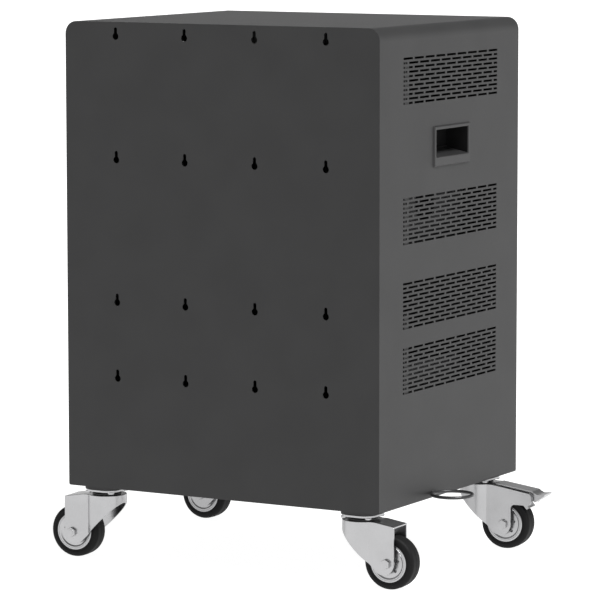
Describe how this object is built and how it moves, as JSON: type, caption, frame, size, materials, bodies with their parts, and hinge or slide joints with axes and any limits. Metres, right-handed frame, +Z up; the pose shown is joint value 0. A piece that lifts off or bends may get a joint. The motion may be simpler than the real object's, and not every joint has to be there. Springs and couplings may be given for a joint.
{
  "type": "mobile device charging cabinet",
  "caption": "Mobile steel device charging cabinet on swivel casters, with double doors, side vents, recessed handles and keyhole slots in its back.",
  "frame": {"origin": "centre of the underside of the cabinet's base, where the casters are bolted on; the floor is 0.1145 m below it", "axes": "+Z up; +Y towards the back with the keyholes; -Y towards the doors; +X towards the side with the power inlet"},
  "size_m": [0.6788, 0.468, 0.8205],
  "materials": {
    "body_paint": "fine matt powder coat, charcoal",
    "divider_paint": "matt powder coat",
    "strip_plastic": "satin moulding",
    "duct_plastic": "satin extrusion",
    "black_plastic": "fine-grained moulding",
    "rocker_plastic": "gloss moulding",
    "button_plastic": "gloss moulding",
    "ring_steel": "black oxide",
    "zinc_steel": "zinc plated",
    "fork_zinc": "zinc plated pressing",
    "hub_metal": "satin",
    "foam": "closed-cell foam",
    "lock_chrome": "satin chrome",
    "tyre_rubber": "matt rubber"
  },
  "bodies": {
    "cabinet": {"shell": "body_paint", "back_panel": "body_paint", "base_pan": "body_paint", "front_frame": "body_paint", "shelf_lower": "body_paint", "shelf_upper": "body_paint", "dividers_lower": "divider_paint", "dividers_upper": "divider_paint", "rear_panel_lower": "body_paint", "rear_panel_upper": "body_paint", "power_strip_lower": "strip_plastic", "power_strip_upper": "strip_plastic", "wiring_duct": "duct_plastic", "power_box": "body_paint", "inlet_socket": "black_plastic", "rocker_frame": "black_plastic", "breaker_body": "black_plastic", "handle_cup_left": "black_plastic", "handle_cup_right": "black_plastic", "cable_ring": "ring_steel", "ring_nut": "zinc_steel", "hinge_pins": "zinc_steel", "door_seals": "foam", "caster_pads": "body_paint", "caster_plates": "zinc_steel", "plate_screws": "zinc_steel", "kingpins": "zinc_steel"},
    "door_left_leaf": {"door_left": "body_paint"},
    "door_right_leaf": {"door_right": "body_paint", "lock_rose": "lock_chrome", "lock_case": "zinc_steel"},
    "lock_lever": {"lock_handle": "lock_chrome", "lock_cam": "zinc_steel"},
    "key_cylinder": {"lock_cylinder": "lock_chrome"},
    "bolt_upper": {"rod_upper": "zinc_steel"},
    "bolt_lower": {"rod_lower": "zinc_steel"},
    "switch_rocker": {"rocker": "rocker_plastic"},
    "reset_plunger": {"reset_button": "button_plastic"},
    "caster_back_left": {"fork_back_left": "fork_zinc", "axle_back_left": "zinc_steel"},
    "wheel_back_left": {"tyre_back_left": "tyre_rubber", "hub_back_left": "hub_metal"},
    "caster_back_right": {"fork_back_right": "fork_zinc", "axle_back_right": "zinc_steel"},
    "wheel_back_right": {"tyre_back_right": "tyre_rubber", "hub_back_right": "hub_metal"},
    "caster_front_left": {"fork_front_left": "fork_zinc", "axle_front_left": "zinc_steel"},
    "wheel_front_left": {"tyre_front_left": "tyre_rubber", "hub_front_left": "hub_metal"},
    "pedal_left": {"brake_pedal_left": "fork_zinc"},
    "caster_front_right": {"fork_front_right": "fork_zinc", "axle_front_right": "zinc_steel"},
    "wheel_front_right": {"tyre_front_right": "tyre_rubber", "hub_front_right": "hub_metal"},
    "pedal_right": {"brake_pedal_right": "fork_zinc"}
  },
  "joints": [
    {"name": "door_left_hinge", "type": "hinge", "parent": "cabinet", "child": "door_left_leaf", "pos_m": [-0.2385, -0.2175, 0], "axis": [0, 0, -1], "range_deg": [0, 115]},
    {"name": "door_right_hinge", "type": "hinge", "parent": "cabinet", "child": "door_right_leaf", "pos_m": [0.2385, -0.2175, 0], "axis": [0, 0, 1], "range_deg": [0, 115]},
    {"name": "lever_turn", "type": "hinge", "parent": "door_right_leaf", "child": "lock_lever", "pos_m": [0.036, -0.2225, 0.35018], "axis": [0, 1, 0], "range_deg": [0, 90]},
    {"name": "bolt_upper_slide", "type": "slide", "parent": "door_right_leaf", "child": "bolt_upper", "axis": [0, 0, 1], "range_m": [0, 0.016]},
    {"name": "bolt_lower_slide", "type": "slide", "parent": "door_right_leaf", "child": "bolt_lower", "axis": [0, 0, -1], "range_m": [0, 0.016]},
    {"name": "key_turn", "type": "hinge", "parent": "lock_lever", "child": "key_cylinder", "pos_m": [0.036, -0.2225, 0.35018], "axis": [0, 1, 0], "range_deg": [0, 90]},
    {"name": "rocker_tip", "type": "hinge", "parent": "cabinet", "child": "switch_rocker", "pos_m": [0.261, 0.179, 0.104], "axis": [0, 0, -1], "range_deg": [0, 20]},
    {"name": "reset_push", "type": "slide", "parent": "cabinet", "child": "reset_plunger", "axis": [-1, 0, 0], "range_m": [0, 0.0025], "stiffness_N_per_m": 600, "springref_m": -0.001},
    {"name": "swivel_back_left", "type": "hinge", "parent": "cabinet", "child": "caster_back_left", "pos_m": [-0.223, 0.188, -0.0145], "axis": [0, 0, 1], "continuous": true},
    {"name": "spin_back_left", "type": "hinge", "parent": "caster_back_left", "child": "wheel_back_left", "pos_m": [-0.27197, 0.18629, -0.0745], "axis": [0.0349, -0.9994, 0], "continuous": true},
    {"name": "swivel_back_right", "type": "hinge", "parent": "cabinet", "child": "caster_back_right", "pos_m": [0.223, 0.188, -0.0145], "axis": [0, 0, 1], "continuous": true},
    {"name": "spin_back_right", "type": "hinge", "parent": "caster_back_right", "child": "wheel_back_right", "pos_m": [0.27181, 0.19227, -0.0745], "axis": [-0.0872, 0.9962, 0], "continuous": true},
    {"name": "swivel_front_left", "type": "hinge", "parent": "cabinet", "child": "caster_front_left", "pos_m": [-0.223, -0.188, -0.0145], "axis": [0, 0, 1], "continuous": true},
    {"name": "spin_front_left", "type": "hinge", "parent": "caster_front_left", "child": "wheel_front_left", "pos_m": [-0.27188, -0.19142, -0.0745], "axis": [0.0698, -0.9976, 0], "continuous": true},
    {"name": "pedal_press_left", "type": "hinge", "parent": "caster_front_left", "child": "pedal_left", "pos_m": [-0.3048, -0.19372, -0.0285], "axis": [0.0698, -0.9976, 0], "range_deg": [0, 8]},
    {"name": "swivel_front_right", "type": "hinge", "parent": "cabinet", "child": "caster_front_right", "pos_m": [0.223, -0.188, -0.0145], "axis": [0, 0, 1], "continuous": true},
    {"name": "spin_front_right", "type": "hinge", "parent": "caster_front_right", "child": "wheel_front_right", "pos_m": [0.272, -0.188, -0.0745], "axis": [0, 1, 0], "continuous": true},
    {"name": "pedal_press_right", "type": "hinge", "parent": "caster_front_right", "child": "pedal_right", "pos_m": [0.305, -0.188, -0.0285], "axis": [0, 1, 0], "range_deg": [0, 8]}
  ],
  "couplings": [
    {"joint": "bolt_upper_slide", "follows": "lever_turn", "m_per_rad": 0.010185},
    {"joint": "bolt_lower_slide", "follows": "lever_turn", "m_per_rad": 0.010185}
  ]
}
